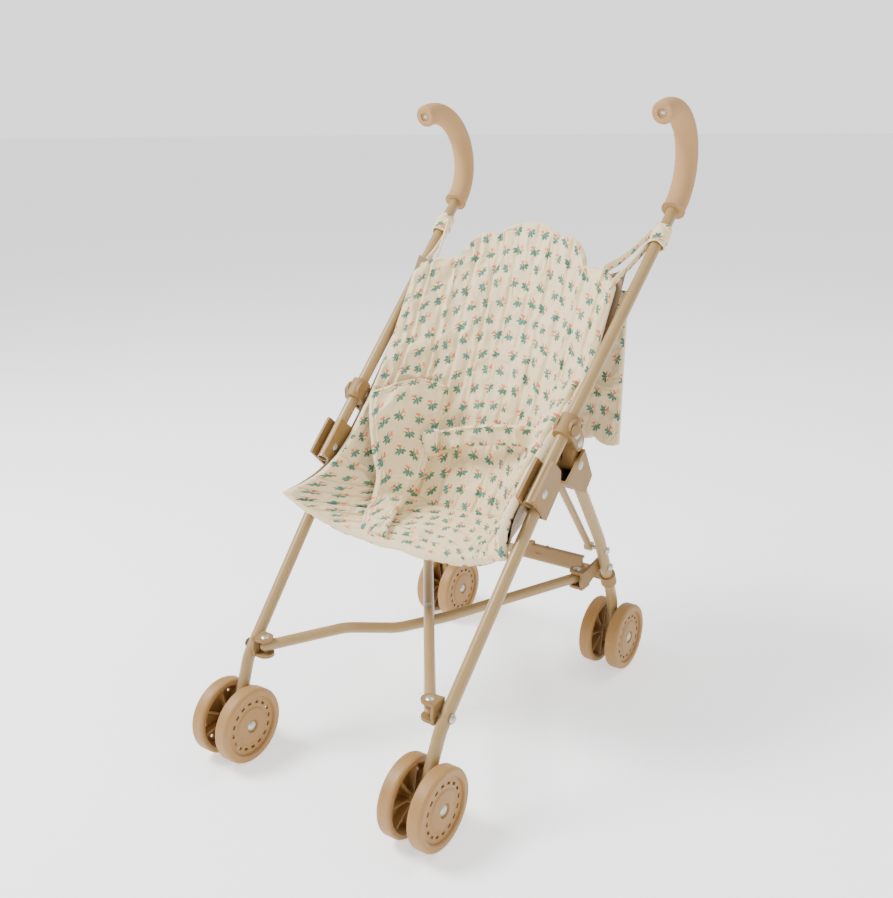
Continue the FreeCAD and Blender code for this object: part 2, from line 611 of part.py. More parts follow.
def make_ties():
    """Fabric cuffs tied round the handle tubes under the grips."""
    way = V(0, ALONG[0], ALONG[1])
    at = plane_point(toward(GRIP_START, HANDLE_FOOT, 42.0))
    cuff = Part.makeCylinder(TUBE_RADIUS + 2.0, 22.0, at, way)
    cuff = cuff.cut(Part.makeCylinder(TUBE_RADIUS + 0.05, 22.0, at, way))
    return cuff


def main():
    """Build and write every piece."""
    tube, grip, screw = make_handle()
    rivets = make_frame_rivets()
    collar = make_collar()
    leg = make_front_leg()
    joint = make_leg_joint()
    bolt = front_yoke_bolt()
    front_axle = make_axle(FRONT_AXLE_Y)
    rear_axle = make_axle(REAR_AXLE_Y)
    placed = [leaned(r) for r in rivets]
    frame_tools = placed + [bolt, front_axle]
    both_sides("handle_tube", cut_for(leaned(tube), placed[:3]))
    both_sides("handle_grip", leaned(grip))
    both_sides("collar", cut_for(leaned(collar), placed[:2]))
    both_sides("front_leg", cut_for(leaned(leg), frame_tools))
    both_sides("leg_joint", cut_for(leaned(joint), placed[2:]))
    both_sides("frame_fasteners", group(placed + [bolt, leaned(screw)]))
    both_sides("front_axle", front_axle)

    rear_rivets = [leaned(r) for r in make_rear_rivets()]
    rear_leg = cut_for(leaned(make_rear_leg()), rear_rivets + [rear_axle])
    both_sides("rear_leg", rear_leg)
    both_sides("rear_bracket", cut_for(leaned(make_rear_bracket()), rear_rivets))
    both_sides("rear_knuckle", cut_for(leaned(make_knuckle()), rear_rivets))
    both_sides("rear_stay", cut_for(leaned(make_stay()), rear_rivets))
    both_sides("rear_axle", rear_axle)

    pins = make_lock()
    clamp = leaned(make_lock_bracket())
    save("lock_bracket_left", clamp.cut(pins[0]))
    save("lock_bracket_right", mirrored(clamp).cut(pins[1]))
    save("rear_fasteners_left", group(rear_rivets + [pins[0]]))
    save("rear_fasteners_right", group([mirrored(r) for r in rear_rivets] + [pins[1]]))

    place_wheels()
    make_brace()
    make_yokes()
    make_soft_parts()
    both_sides("tie_cuff", leaned(make_ties()))


main()
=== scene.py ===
"""Looks of the folding doll stroller: finishes, quilted soft goods, floor, light and camera."""
import json
import logging
import math
from dataclasses import dataclass
from enum import Enum
from typing import Dict, List, Sequence, Tuple

import bpy
import numpy as np
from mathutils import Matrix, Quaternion, Vector

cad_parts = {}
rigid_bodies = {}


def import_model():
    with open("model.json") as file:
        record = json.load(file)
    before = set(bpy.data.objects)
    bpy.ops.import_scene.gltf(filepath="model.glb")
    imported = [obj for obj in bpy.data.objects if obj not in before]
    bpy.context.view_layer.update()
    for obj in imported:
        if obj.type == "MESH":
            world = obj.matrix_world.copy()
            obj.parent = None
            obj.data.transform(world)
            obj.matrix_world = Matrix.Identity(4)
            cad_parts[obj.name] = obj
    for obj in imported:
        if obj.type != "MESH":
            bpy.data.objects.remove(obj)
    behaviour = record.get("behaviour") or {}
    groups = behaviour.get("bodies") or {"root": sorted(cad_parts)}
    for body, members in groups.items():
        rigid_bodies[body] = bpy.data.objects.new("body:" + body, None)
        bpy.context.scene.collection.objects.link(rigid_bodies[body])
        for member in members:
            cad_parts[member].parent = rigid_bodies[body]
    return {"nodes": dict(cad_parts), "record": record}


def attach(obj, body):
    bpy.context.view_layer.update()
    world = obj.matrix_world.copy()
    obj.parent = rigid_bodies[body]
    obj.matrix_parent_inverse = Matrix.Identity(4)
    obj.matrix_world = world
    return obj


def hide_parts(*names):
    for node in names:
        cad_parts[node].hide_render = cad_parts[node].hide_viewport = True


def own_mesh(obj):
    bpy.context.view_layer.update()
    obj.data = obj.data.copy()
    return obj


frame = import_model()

LOG = logging.getLogger("stroller")
MM = 0.001
SHIFT_Y = -24.95
Vec = Tuple[float, float, float]

LEFT = "frame_left"
RIGHT = "frame_right"


class Side(Enum):
    """Side of the stroller, as the sign of its x."""

    LEFT = 1
    RIGHT = -1

    @property
    def word(self) -> str:
        """Suffix of the side's node names."""
        return "left" if self is Side.LEFT else "right"

    @property
    def body(self) -> str:
        """Body that holds the side frame."""
        return LEFT if self is Side.LEFT else RIGHT


# ------------------------------------------------------------------ materials
class Graph:
    """Small helper around a node tree."""

    def __init__(self, tree: bpy.types.NodeTree) -> None:
        """Keep the tree.

        Args:
            tree: Node tree that the nodes go into.
        """
        self.tree = tree
        self.count = 0

    def node(self, kind: str, **settings: object) -> bpy.types.Node:
        """Add a node.

        Args:
            kind: Node type name.
            **settings: Attributes to set on the node.

        Returns:
            The new node.
        """
        made = self.tree.nodes.new(kind)
        made.location = (180 * (self.count % 12), -160 * (self.count // 12))
        self.count += 1
        for key, value in settings.items():
            setattr(made, key, value)
        return made

    def link(self, source: bpy.types.NodeSocket, target: bpy.types.NodeSocket) -> None:
        """Join two sockets."""
        self.tree.links.new(source, target)

    def feed(self, target: bpy.types.NodeSocket, value: object) -> None:
        """Set a socket from a constant or link it from another socket."""
        if isinstance(value, bpy.types.NodeSocket):
            self.link(value, target)
        else:
            target.default_value = value

    def math(self, operation: str, *values: object, clamp: bool = False) -> bpy.types.NodeSocket:
        """Math node.

        Args:
            operation: Blender's name of the operation.
            *values: Constants or sockets, in order.
            clamp: Clamp the result to 0..1.

        Returns:
            The output socket.
        """
        made = self.node("ShaderNodeMath", operation=operation, use_clamp=clamp)
        for index, value in enumerate(values):
            self.feed(made.inputs[index], value)
        return made.outputs[0]

    def vector(self, operation: str, *values: object) -> bpy.types.Node:
        """Vector math node with its inputs fed in order."""
        made = self.node("ShaderNodeVectorMath", operation=operation)
        for index, value in enumerate(values):
            self.feed(made.inputs[index], value)
        return made

    def noise(self, coords: object, scale: float, detail: float = 3.0,
              rough: float = 0.5) -> bpy.types.NodeSocket:
        """Noise texture's factor."""
        made = self.node("ShaderNodeTexNoise")
        self.feed(made.inputs["Vector"], coords)
        made.inputs["Scale"].default_value = scale
        made.inputs["Detail"].default_value = detail
        made.inputs["Roughness"].default_value = rough
        return made.outputs["Fac"]

    def ramp(self, value: object, low: float, high: float, out_low: float = 0.0,
             out_high: float = 1.0) -> bpy.types.NodeSocket:
        """Smooth map of a value from one range to another."""
        made = self.node("ShaderNodeMapRange", interpolation_type="SMOOTHSTEP")
        for index, item in enumerate((value, low, high, out_low, out_high)):
            self.feed(made.inputs[index], item)
        return made.outputs[0]

    def mix(self, factor: object, first: object, second: object) -> bpy.types.NodeSocket:
        """Mix two colours."""
        made = self.node("ShaderNodeMix", data_type="RGBA")
        self.feed(made.inputs[0], factor)
        self.feed(made.inputs[6], first)
        self.feed(made.inputs[7], second)
        return made.outputs[2]


def new_group(name: str, inputs: Sequence[Tuple[str, str, object]],
              outputs: Sequence[Tuple[str, str]]) -> Tuple[Graph, bpy.types.Node, bpy.types.Node]:
    """Start a shader node group.

    Args:
        name: Name of the group.
        inputs: Name, socket type and default of each input.
        outputs: Name and socket type of each output.

    Returns:
        The graph, its input node and its output node.
    """
    tree = bpy.data.node_groups.new(name, "ShaderNodeTree")
    for title, kind, default in inputs:
        socket = tree.interface.new_socket(title, in_out="INPUT", socket_type=kind)
        if default is not None:
            socket.default_value = default
    for title, kind in outputs:
        tree.interface.new_socket(title, in_out="OUTPUT", socket_type=kind)
    graph = Graph(tree)
    return graph, graph.node("NodeGroupInput"), graph.node("NodeGroupOutput")


COLOR = "NodeSocketColor"
FLOAT = "NodeSocketFloat"
VECTOR = "NodeSocketVector"


@dataclass(frozen=True)
class Petal:
    """One printed mark of a sprig, as an ellipse in the sprig's own cell (cell side 1)."""

    x: float
    y: float
    length: float
    width: float
    turn: float
    kind: int


LEAF, LEAF_BLUE, BUD, YOLK = range(4)
SPRIG: Tuple[Petal, ...] = (
    Petal(0.00, 0.08, 0.150, 0.050, 1.69, LEAF),
    Petal(-0.18, 0.13, 0.145, 0.082, 2.79, LEAF_BLUE),
    Petal(0.18, 0.13, 0.150, 0.080, 0.39, LEAF_BLUE),
    Petal(-0.07, 0.24, 0.130, 0.074, 2.19, LEAF_BLUE),
    Petal(0.10, 0.25, 0.110, 0.066, 1.04, LEAF),
    Petal(-0.13, -0.01, 0.090, 0.048, 0.74, LEAF),
    Petal(0.02, -0.13, 0.100, 0.078, 1.94, BUD),
    Petal(-0.07, -0.22, 0.072, 0.052, 0.50, BUD),
    Petal(0.23, -0.02, 0.078, 0.056, 2.24, YOLK),
    Petal(-0.22, -0.10, 0.078, 0.052, 0.84, YOLK),
    Petal(0.13, -0.15, 0.055, 0.044, 2.94, YOLK),
)


def sprig_group() -> bpy.types.NodeTree:
    """Node group that prints staggered, turned sprigs on a cloth's flat coordinates.

    Returns:
        Group with the cloth's flat coordinates in metres as input and a colour as output.
    """
    graph, entry, leave = new_group("SprigPrint", [("Flat", VECTOR, None), ("Pitch", FLOAT, 0.021),
                                                   ("Ground", COLOR, (0.8, 0.7, 0.56, 1.0))],
                                    [("Color", COLOR)])
    scaled = graph.node("ShaderNodeVectorMath", operation="SCALE")
    graph.link(entry.outputs["Flat"], scaled.inputs[0])
    graph.link(graph.math("DIVIDE", 1.0, entry.outputs["Pitch"]), scaled.inputs["Scale"])
    split = graph.node("ShaderNodeSeparateXYZ")
    graph.link(scaled.outputs[0], split.inputs[0])
    row = graph.math("FLOOR", split.outputs["Y"])
    shift = graph.math("MULTIPLY", graph.math("FLOORED_MODULO", row, 2.0), 0.5)
    across = graph.math("ADD", split.outputs["X"], shift)
    column = graph.math("FLOOR", across)
    cell = graph.node("ShaderNodeCombineXYZ")
    graph.link(column, cell.inputs["X"])
    graph.link(row, cell.inputs["Y"])
    random = graph.node("ShaderNodeTexWhiteNoise", noise_dimensions="2D")
    graph.link(cell.outputs[0], random.inputs["Vector"])
    pick = graph.node("ShaderNodeSeparateXYZ")
    graph.link(random.outputs["Color"], pick.inputs[0])
    local = graph.node("ShaderNodeCombineXYZ")
    for socket, value, wobble in (("X", across, pick.outputs["X"]),
                                  ("Y", split.outputs["Y"], pick.outputs["Y"])):
        centred = graph.math("SUBTRACT", graph.math("FRACT", value), 0.5)
        jitter = graph.math("MULTIPLY", graph.math("SUBTRACT", wobble, 0.5), 0.16)
        graph.link(graph.math("ADD", centred, jitter), local.inputs[socket])
    turned = graph.node("ShaderNodeVectorRotate", rotation_type="Z_AXIS")
    graph.link(local.outputs[0], turned.inputs["Vector"])
    graph.link(graph.ramp(pick.outputs["Z"], 0.0, 1.0, -1.1, 1.1), turned.inputs["Angle"])
    ragged = graph.noise(entry.outputs["Flat"], 900.0, 1.0)
    masks: List[bpy.types.NodeSocket] = [None] * 4
    for petal in SPRIG:
        place = graph.node("ShaderNodeMapping", vector_type="TEXTURE")
        graph.link(turned.outputs[0], place.inputs["Vector"])
        place.inputs["Location"].default_value = (petal.x, petal.y, 0.0)
        place.inputs["Rotation"].default_value = (0.0, 0.0, petal.turn)
        place.inputs["Scale"].default_value = (petal.length, petal.width, 1.0)
        reach = graph.vector("LENGTH", place.outputs[0]).outputs["Value"]
        reach = graph.math("ADD", reach, graph.math("MULTIPLY", graph.math("SUBTRACT", ragged, 0.5), 0.7))
        mask = graph.ramp(reach, 0.86, 1.10, 1.0, 0.0)
        earlier = masks[petal.kind]
        masks[petal.kind] = mask if earlier is None else graph.math("MAXIMUM", earlier, mask)
    hue = random.outputs["Value"]
    leaf = graph.mix(hue, (0.022, 0.120, 0.072, 1.0), (0.060, 0.170, 0.070, 1.0))
    blue = graph.mix(hue, (0.012, 0.190, 0.165, 1.0), (0.012, 0.125, 0.105, 1.0))
    bud = graph.mix(hue, (0.680, 0.110, 0.085, 1.0), (0.700, 0.190, 0.140, 1.0))
    yolk = graph.mix(hue, (0.800, 0.470, 0.045, 1.0), (0.760, 0.360, 0.040, 1.0))
    colour = entry.outputs["Ground"]
    for kind, ink in ((YOLK, yolk), (LEAF, leaf), (LEAF_BLUE, blue), (BUD, bud)):
        strength = graph.math("MULTIPLY", masks[kind], 0.93)
        colour = graph.mix(strength, colour, ink)
    graph.link(colour, leave.inputs["Color"])
    return graph.tree


def weave_and_crease_shade_group() -> bpy.types.NodeTree:
    """Node group for the fine weave and soft creases of cotton cloth, with painted shade that darkens its
    colour in the creases.

    Returns:
        Group with flat coordinates in, and out a Color factor (the yarn's slub tone plus painted crease
        shade) and a Height.
    """
    graph, entry, leave = new_group("CottonWeaveAndCreaseShade", [("Flat", VECTOR, None), ("Threads", FLOAT, 2200.0)],
                                    [("Fac", FLOAT), ("Height", FLOAT)])
    split = graph.node("ShaderNodeSeparateXYZ")
    graph.link(entry.outputs["Flat"], split.inputs[0])
    warp = graph.math("SINE", graph.math("MULTIPLY", split.outputs["X"], entry.outputs["Threads"]))
    weft = graph.math("SINE", graph.math("MULTIPLY", split.outputs["Y"], entry.outputs["Threads"]))
    threads = graph.math("MULTIPLY", warp, weft)
    slub = graph.noise(entry.outputs["Flat"], 260.0, 4.0, 0.6)
    crease = graph.noise(entry.outputs["Flat"], 46.0, 3.0, 0.55)
    height = graph.math("ADD", graph.math("MULTIPLY", threads, 0.10), graph.math("MULTIPLY", slub, 0.25))
    height = graph.math("ADD", height, graph.math("MULTIPLY", crease, 1.0))
    # Colour factor: the slub is the yarn's own tone; the crease term is painted shade, darker where the
    # crease bump is low.
    factor = graph.math("ADD", graph.math("MULTIPLY", slub, 0.6), graph.math("MULTIPLY", crease, 0.4))
    graph.link(factor, leave.inputs["Fac"])
    graph.link(height, leave.inputs["Height"])
    return graph.tree


def mottle_group() -> bpy.types.NodeTree:
    """Node group for the slight mottling and grain of paint and moulded plastic.

    Returns:
        Group with object coordinates in and Fac, Grain out.
    """
    graph, entry, leave = new_group("Mottle", [("Place", VECTOR, None), ("Size", FLOAT, 40.0),
                                               ("Grain Size", FLOAT, 900.0)],
                                    [("Fac", FLOAT), ("Grain", FLOAT)])
    for title, socket, detail in (("Fac", "Size", 4.0), ("Grain", "Grain Size", 2.0)):
        made = graph.node("ShaderNodeTexNoise")
        graph.link(entry.outputs["Place"], made.inputs["Vector"])
        graph.link(entry.outputs[socket], made.inputs["Scale"])
        made.inputs["Detail"].default_value = detail
        graph.link(made.outputs["Fac"], leave.inputs[title])
    return graph.tree


@dataclass(frozen=True)
class HardFinish:
    """Paint, plastic, foam or metal.

    The colours are linear; light and dark are mixed by slow mottling, and raised edges, found by the mesh's
    pointiness, are mixed towards a paler colour.
    """

    name: str
    dark: Vec
    light: Vec
    roughness: Tuple[float, float]
    metallic: float = 0.0
    coat: float = 0.0
    grain: float = 900.0
    bump: float = 0.05
    bump_distance: float = 0.0002
    edge_paling: float = 0.0

    def build(self, mottle: bpy.types.NodeTree) -> bpy.types.Material:
        """Make the material.

        Args:
            mottle: The shared mottling group.

        Returns:
            The finished material.
        """
        material = bpy.data.materials.new(self.name)
        material.use_nodes = True
        graph = Graph(material.node_tree)
        shader = material.node_tree.nodes["Principled BSDF"]
        place = graph.node("ShaderNodeTexCoord").outputs["Object"]
        speck = graph.node("ShaderNodeGroup", node_tree=mottle)
        graph.link(place, speck.inputs["Place"])
        speck.inputs["Grain Size"].default_value = self.grain
        colour = graph.mix(speck.outputs["Fac"], (*self.dark, 1.0), (*self.light, 1.0))
        # Raised edges, found by the mesh's pointiness, are mixed towards a colour 1.35 times paler.
        if self.edge_paling > 0.0:
            edge = graph.ramp(graph.node("ShaderNodeNewGeometry").outputs["Pointiness"], 0.52, 0.60)
            pale = tuple(min(1.0, c * 1.35) for c in self.light)
            colour = graph.mix(graph.math("MULTIPLY", edge, self.edge_paling), colour, (*pale, 1.0))
        graph.link(colour, shader.inputs["Base Color"])
        graph.link(graph.ramp(speck.outputs["Fac"], 0.3, 0.7, *self.roughness), shader.inputs["Roughness"])
        shader.inputs["Metallic"].default_value = self.metallic
        shader.inputs["Coat Weight"].default_value = self.coat
        shader.inputs["Coat Roughness"].default_value = 0.25
        bump = graph.node("ShaderNodeBump")
        bump.inputs["Strength"].default_value = self.bump
        bump.inputs["Distance"].default_value = self.bump_distance
        graph.link(speck.outputs["Grain"], bump.inputs["Height"])
        graph.link(bump.outputs["Normal"], shader.inputs["Normal"])
        return material


@dataclass(frozen=True)
class ClothFinish:
    """Woven cloth, printed or plain."""

    name: str
    ground_dark: Vec
    ground_light: Vec
    printed: bool
    pitch: float = 0.0172
    crease: float = 0.35

    def build(self, sprigs: bpy.types.NodeTree, weave: bpy.types.NodeTree) -> bpy.types.Material:
        """Make the material.

        Args:
            sprigs: The shared print group.
            weave: The shared weave group, which also paints shade into the creases.

        Returns:
            The finished material.
        """
        material = bpy.data.materials.new(self.name)
        material.use_nodes = True
        graph = Graph(material.node_tree)
        shader = material.node_tree.nodes["Principled BSDF"]
        flat = graph.node("ShaderNodeTexCoord").outputs["UV"]
        cloth = graph.node("ShaderNodeGroup", node_tree=weave)
        graph.link(flat, cloth.inputs["Flat"])
        # Ground colour runs from dark to light with the yarn's slub tone and with painted shade in the
        # creases.
        ground = graph.mix(cloth.outputs["Fac"], (*self.ground_dark, 1.0), (*self.ground_light, 1.0))
        colour = ground
        if self.printed:
            print_node = graph.node("ShaderNodeGroup", node_tree=sprigs)
            graph.link(flat, print_node.inputs["Flat"])
            print_node.inputs["Pitch"].default_value = self.pitch
            graph.link(ground, print_node.inputs["Ground"])
            colour = print_node.outputs["Color"]
        graph.link(colour, shader.inputs["Base Color"])
        shader.inputs["Roughness"].default_value = 0.88
        shader.inputs["Sheen Weight"].default_value = 0.25
        shader.inputs["Sheen Roughness"].default_value = 0.5
        shader.inputs["Specular IOR Level"].default_value = 0.25
        bump = graph.node("ShaderNodeBump")
        bump.inputs["Strength"].default_value = self.crease
        bump.inputs["Distance"].default_value = 0.0012
        graph.link(cloth.outputs["Height"], bump.inputs["Height"])
        graph.link(bump.outputs["Normal"], shader.inputs["Normal"])
        return material


HARD_FINISHES: Dict[str, HardFinish] = {
    "painted_tube": HardFinish("beige_paint", (0.285, 0.180, 0.067), (0.325, 0.209, 0.081), (0.30, 0.40),
                               coat=0.15, grain=1400.0, bump=0.04, edge_paling=0.2),
    "foam_grip": HardFinish("tan_foam", (0.370, 0.210, 0.085), (0.415, 0.241, 0.102), (0.80, 0.92),
                            grain=1800.0, bump=0.35, bump_distance=0.0003),
    "bracket_plastic": HardFinish("tan_plastic", (0.205, 0.114, 0.032), (0.235, 0.132, 0.039), (0.52, 0.62),
                                  grain=1200.0, bump=0.08, edge_paling=0.25),
    "wheel_plastic": HardFinish("wheel_plastic", (0.285, 0.150, 0.042), (0.320, 0.172, 0.050), (0.50, 0.62),
                                grain=1100.0, bump=0.08, edge_paling=0.15),
    "rivet_steel": HardFinish("zinc_steel", (0.36, 0.37, 0.31), (0.50, 0.50, 0.43), (0.25, 0.40),
                              metallic=0.85, grain=2500.0, bump=0.05),
}
PRINT = ClothFinish("sprig_cotton", (0.735, 0.588, 0.345), (0.815, 0.665, 0.405), True)
PLAIN = ClothFinish("plain_tan_cotton", (0.235, 0.160, 0.088), (0.285, 0.198, 0.112), False)
BINDING = ClothFinish("pale_binding", (0.735, 0.590, 0.355), (0.815, 0.670, 0.415), False)


class Finishes:
    """All materials, made once."""

    def __init__(self) -> None:
        """Build the shared groups and every material."""
        sprigs, weave, mottle = sprig_group(), weave_and_crease_shade_group(), mottle_group()
        self.hard = {slot: finish.build(mottle) for slot, finish in HARD_FINISHES.items()}
        self.print = PRINT.build(sprigs, weave)
        self.plain = PLAIN.build(sprigs, weave)
        self.binding = BINDING.build(sprigs, weave)


def dress_nodes(finishes: Finishes) -> None:
    """Give every CAD node the finish of its slot.

    Args:
        finishes: The materials.
    """
    slots = {entry["node"]: entry["material_slot"] for entry in frame["record"]["subparts"]}
    for name, node in frame["nodes"].items():
        slot = slots.get(name, "bracket_plastic")
        material = finishes.hard.get(slot, finishes.plain)
        if not node.material_slots:
            node.data.materials.append(material)
        for index in range(len(node.material_slots)):
            node.material_slots[index].material = material
    LOG.info("dressed %d nodes", len(frame["nodes"]))


# ------------------------------------------------------------------ cloth meshes
def arc_lengths(points: np.ndarray, axis: int) -> np.ndarray:
    """Running length over a grid of points along one axis.

    Args:
        points: Grid of points, rows by columns by 3.
        axis: 0 to run down the rows, 1 to run across the columns.

    Returns:
        Grid of lengths.
    """
    steps = np.linalg.norm(np.diff(points, axis=axis), axis=2)
    total = np.cumsum(steps, axis=axis)
    pad = [(1, 0), (0, 0)] if axis == 0 else [(0, 0), (1, 0)]
    return np.pad(total, pad)


def grid_normals(points: np.ndarray) -> np.ndarray:
    """Unit normals of a grid, pointing along down x across, which is the front."""
    down = np.gradient(points, axis=0)
    across = np.gradient(points, axis=1)
    normal = np.cross(down, across)
    return normal / np.maximum(np.linalg.norm(normal, axis=2, keepdims=True), 1e-12)


@dataclass
class Puff:
    """How a quilted panel is inflated by the cloth solver."""

    pressure: float = 4.0
    frames: int = 16
    shrink: float = -0.05
    cap: float = 0.006


@dataclass
class QuiltSheet:
    """Closed quilted panel between a front and a back layer.

    Attributes:
        name: Name of the piece.
        points: Middle surface, rows down by columns across, in metres.
        seam: 1 on a stitched line and 0 between, on the same grid.
        loft: Height of the quilting above the seams, in metres.
        thickness: Thickness at a seam, in metres.
        flat: Flat coordinates in metres, on the same grid.
    """

    name: str
    points: np.ndarray
    seam: np.ndarray
    loft: float
    thickness: float
    flat: np.ndarray

    def build(self, materials: Sequence[bpy.types.Material], back_loft: float = 0.5) -> bpy.types.Object:
        """Make the closed mesh.

        Args:
            materials: Materials of the front and of the rim.
            back_loft: Share of the loft on the back layer.

        Returns:
            The mesh object.
        """
        rows, columns = self.points.shape[:2]
        normal = grid_normals(self.points)
        rise = (self.loft * (1.0 - self.seam) + self.thickness * 0.5)[..., None]
        low = (self.loft * back_loft * (1.0 - self.seam) + self.thickness * 0.5)[..., None]
        front = self.points + normal * rise
        back = self.points - normal * low
        vertices = np.vstack([front.reshape(-1, 3), back.reshape(-1, 3)])
        vertices[:, 1] += SHIFT_Y * MM
        index = np.arange(rows * columns).reshape(rows, columns)
        quad = np.stack([index[:-1, :-1], index[1:, :-1], index[1:, 1:], index[:-1, 1:]], -1).reshape(-1, 4)
        other = (quad + rows * columns)[:, ::-1]
        loop = np.concatenate([index[0, :], index[1:, -1], index[-1, -2::-1], index[-2:0:-1, 0]])
        after = np.roll(loop, -1)
        rim = np.stack([loop, after, after + rows * columns, loop + rows * columns], -1)
        faces = np.vstack([quad, other, rim])
        mesh = bpy.data.meshes.new(self.name)
        mesh.from_pydata(vertices.tolist(), [], faces.tolist())
        layer = mesh.uv_layers.new(name="flat")
        flat = np.vstack([self.flat.reshape(-1, 2)] * 2)
        corners = np.empty(len(mesh.loops), dtype=np.int32)
        mesh.loops.foreach_get("vertex_index", corners)
        layer.data.foreach_set("uv", flat[corners].astype(np.float32).ravel())
        for material in materials:
            mesh.materials.append(material)
        if len(materials) > 1:
            chosen = np.zeros(len(faces), dtype=np.int32)
            chosen[2 * len(quad):] = 1
            mesh.polygons.foreach_set("material_index", chosen)
        mesh.polygons.foreach_set("use_smooth", np.ones(len(faces), dtype=bool))
        mesh.update()
        made = bpy.data.objects.new(self.name, mesh)
        bpy.context.scene.collection.objects.link(made)
        group = made.vertex_groups.new(name="pinned")
        held = np.concatenate([self.seam.reshape(-1) > 0.5, np.ones(rows * columns, dtype=bool)])
        held[loop] = True
        group.add(np.flatnonzero(held).tolist(), 1.0, "REPLACE")
        LOG.info("%s: %d faces", self.name, len(faces))
        return made


def puff_up(piece: bpy.types.Object, puff: Puff) -> None:
    """Let the cloth solver lift the unstitched cloth between the seams, and keep the result.

    Args:
        piece: Quilted piece with its seams in the group "pinned".
        puff: Strength of the effect.
    """
    mesh = piece.data
    before = np.empty(len(mesh.vertices) * 3)
    mesh.vertices.foreach_get("co", before)
    cloth = piece.modifiers.new("cloth", "CLOTH")
    settings = cloth.settings
    settings.quality = 5
    settings.mass = 0.15
    settings.tension_stiffness = 20
    settings.compression_stiffness = 20
    settings.shear_stiffness = 8
    settings.bending_stiffness = 0.08
    settings.vertex_group_mass = "pinned"
    settings.use_pressure = True
    settings.uniform_pressure_force = puff.pressure
    settings.shrink_min = puff.shrink
    settings.effector_weights.gravity = 0.0
    cloth.collision_settings.use_collision = False
    cloth.point_cache.frame_start = 1
    cloth.point_cache.frame_end = puff.frames
    scene = bpy.context.scene
    for number in range(1, puff.frames + 1):
        scene.frame_set(number)
        bpy.context.view_layer.update()
    graph = bpy.context.evaluated_depsgraph_get()
    solved = piece.evaluated_get(graph)
    after = np.empty_like(before)
    solved.data.vertices.foreach_get("co", after)
    piece.modifiers.remove(cloth)
    scene.frame_set(1)
    move = (after - before).reshape(-1, 3)
    move[~np.isfinite(move)] = 0.0
    size = np.linalg.norm(move, axis=1, keepdims=True)
    move *= np.minimum(1.0, puff.cap / np.maximum(size, 1e-9))
    mesh.vertices.foreach_set("co", (before + move.ravel()))
    mesh.update()
    LOG.info("%s: cloth moved up to %.1f mm", piece.name, float(size.max() / MM))


def soft_object(piece: bpy.types.Object, levels: int = 1) -> None:
    """Round a cloth piece with a subdivision surface."""
    modifier = piece.modifiers.new("round", "SUBSURF")
    modifier.levels = levels
    modifier.render_levels = levels


def smooth_rows(keys: np.ndarray, at: np.ndarray) -> np.ndarray:
    """Smooth curve through key rows, by cubic Hermite runs.

    Args:
        keys: Rows of parameter followed by values.
        at: Parameters to read, of any shape.

    Returns:
        Values at each parameter, with one more axis.
    """
    x, y = keys[:, 0], keys[:, 1:]
    slope = np.zeros_like(y)
    step = np.diff(x)[:, None]
    secant = np.diff(y, axis=0) / step
    slope[1:-1] = (secant[:-1] * step[1:] + secant[1:] * step[:-1]) / (step[:-1] + step[1:])
    slope[0], slope[-1] = secant[0], secant[-1]
    t = np.clip(at, x[0], x[-1])
    k = np.clip(np.searchsorted(x, t, side="right") - 1, 0, len(x) - 2)
    h = (x[k + 1] - x[k])[..., None]
    s = ((t - x[k]) / (x[k + 1] - x[k]))[..., None]
    return (y[k] * (1 + 2 * s) * (1 - s) ** 2 + slope[k] * h * s * (1 - s) ** 2
            + y[k + 1] * s ** 2 * (3 - 2 * s) + slope[k + 1] * h * s ** 2 * (s - 1))


